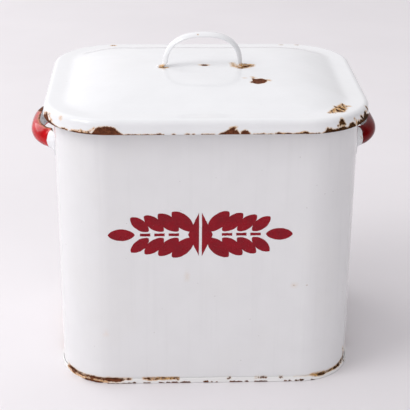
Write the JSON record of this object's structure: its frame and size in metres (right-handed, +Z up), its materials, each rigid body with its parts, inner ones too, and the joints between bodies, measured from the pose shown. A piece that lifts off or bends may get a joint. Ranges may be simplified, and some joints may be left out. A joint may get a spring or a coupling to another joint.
{
  "type": "bread bin",
  "caption": "Enamelled steel bread bin: a rounded rectangular bin on a folded base pan, side strap handles, and a domed lift-off lid with an arched handle.",
  "frame": {"origin": "middle of the footprint, on the surface that the bin stands on", "axes": "+Z up, the decorated front faces -Y, +X to the right seen from the front"},
  "size_m": [0.3678, 0.278, 0.3459],
  "materials": {
    "white_enamel": "gloss vitreous enamel with chips and rust",
    "base_enamel": "gloss vitreous enamel, rusty along its seam",
    "red_enamel": "gloss red enamel, white at the welded ends"
  },
  "bodies": {
    "bin": {"body_shell": "white_enamel", "base_pan": "base_enamel", "side_handle_left": "red_enamel", "side_handle_right": "red_enamel"},
    "lid": {"lid_shell": "white_enamel", "lid_handle": "white_enamel"}
  },
  "joints": [
    {"name": "lid_lift", "type": "slide", "parent": "bin", "child": "lid", "axis": [0, 0, 1], "range_m": [0, 0.15]}
  ]
}
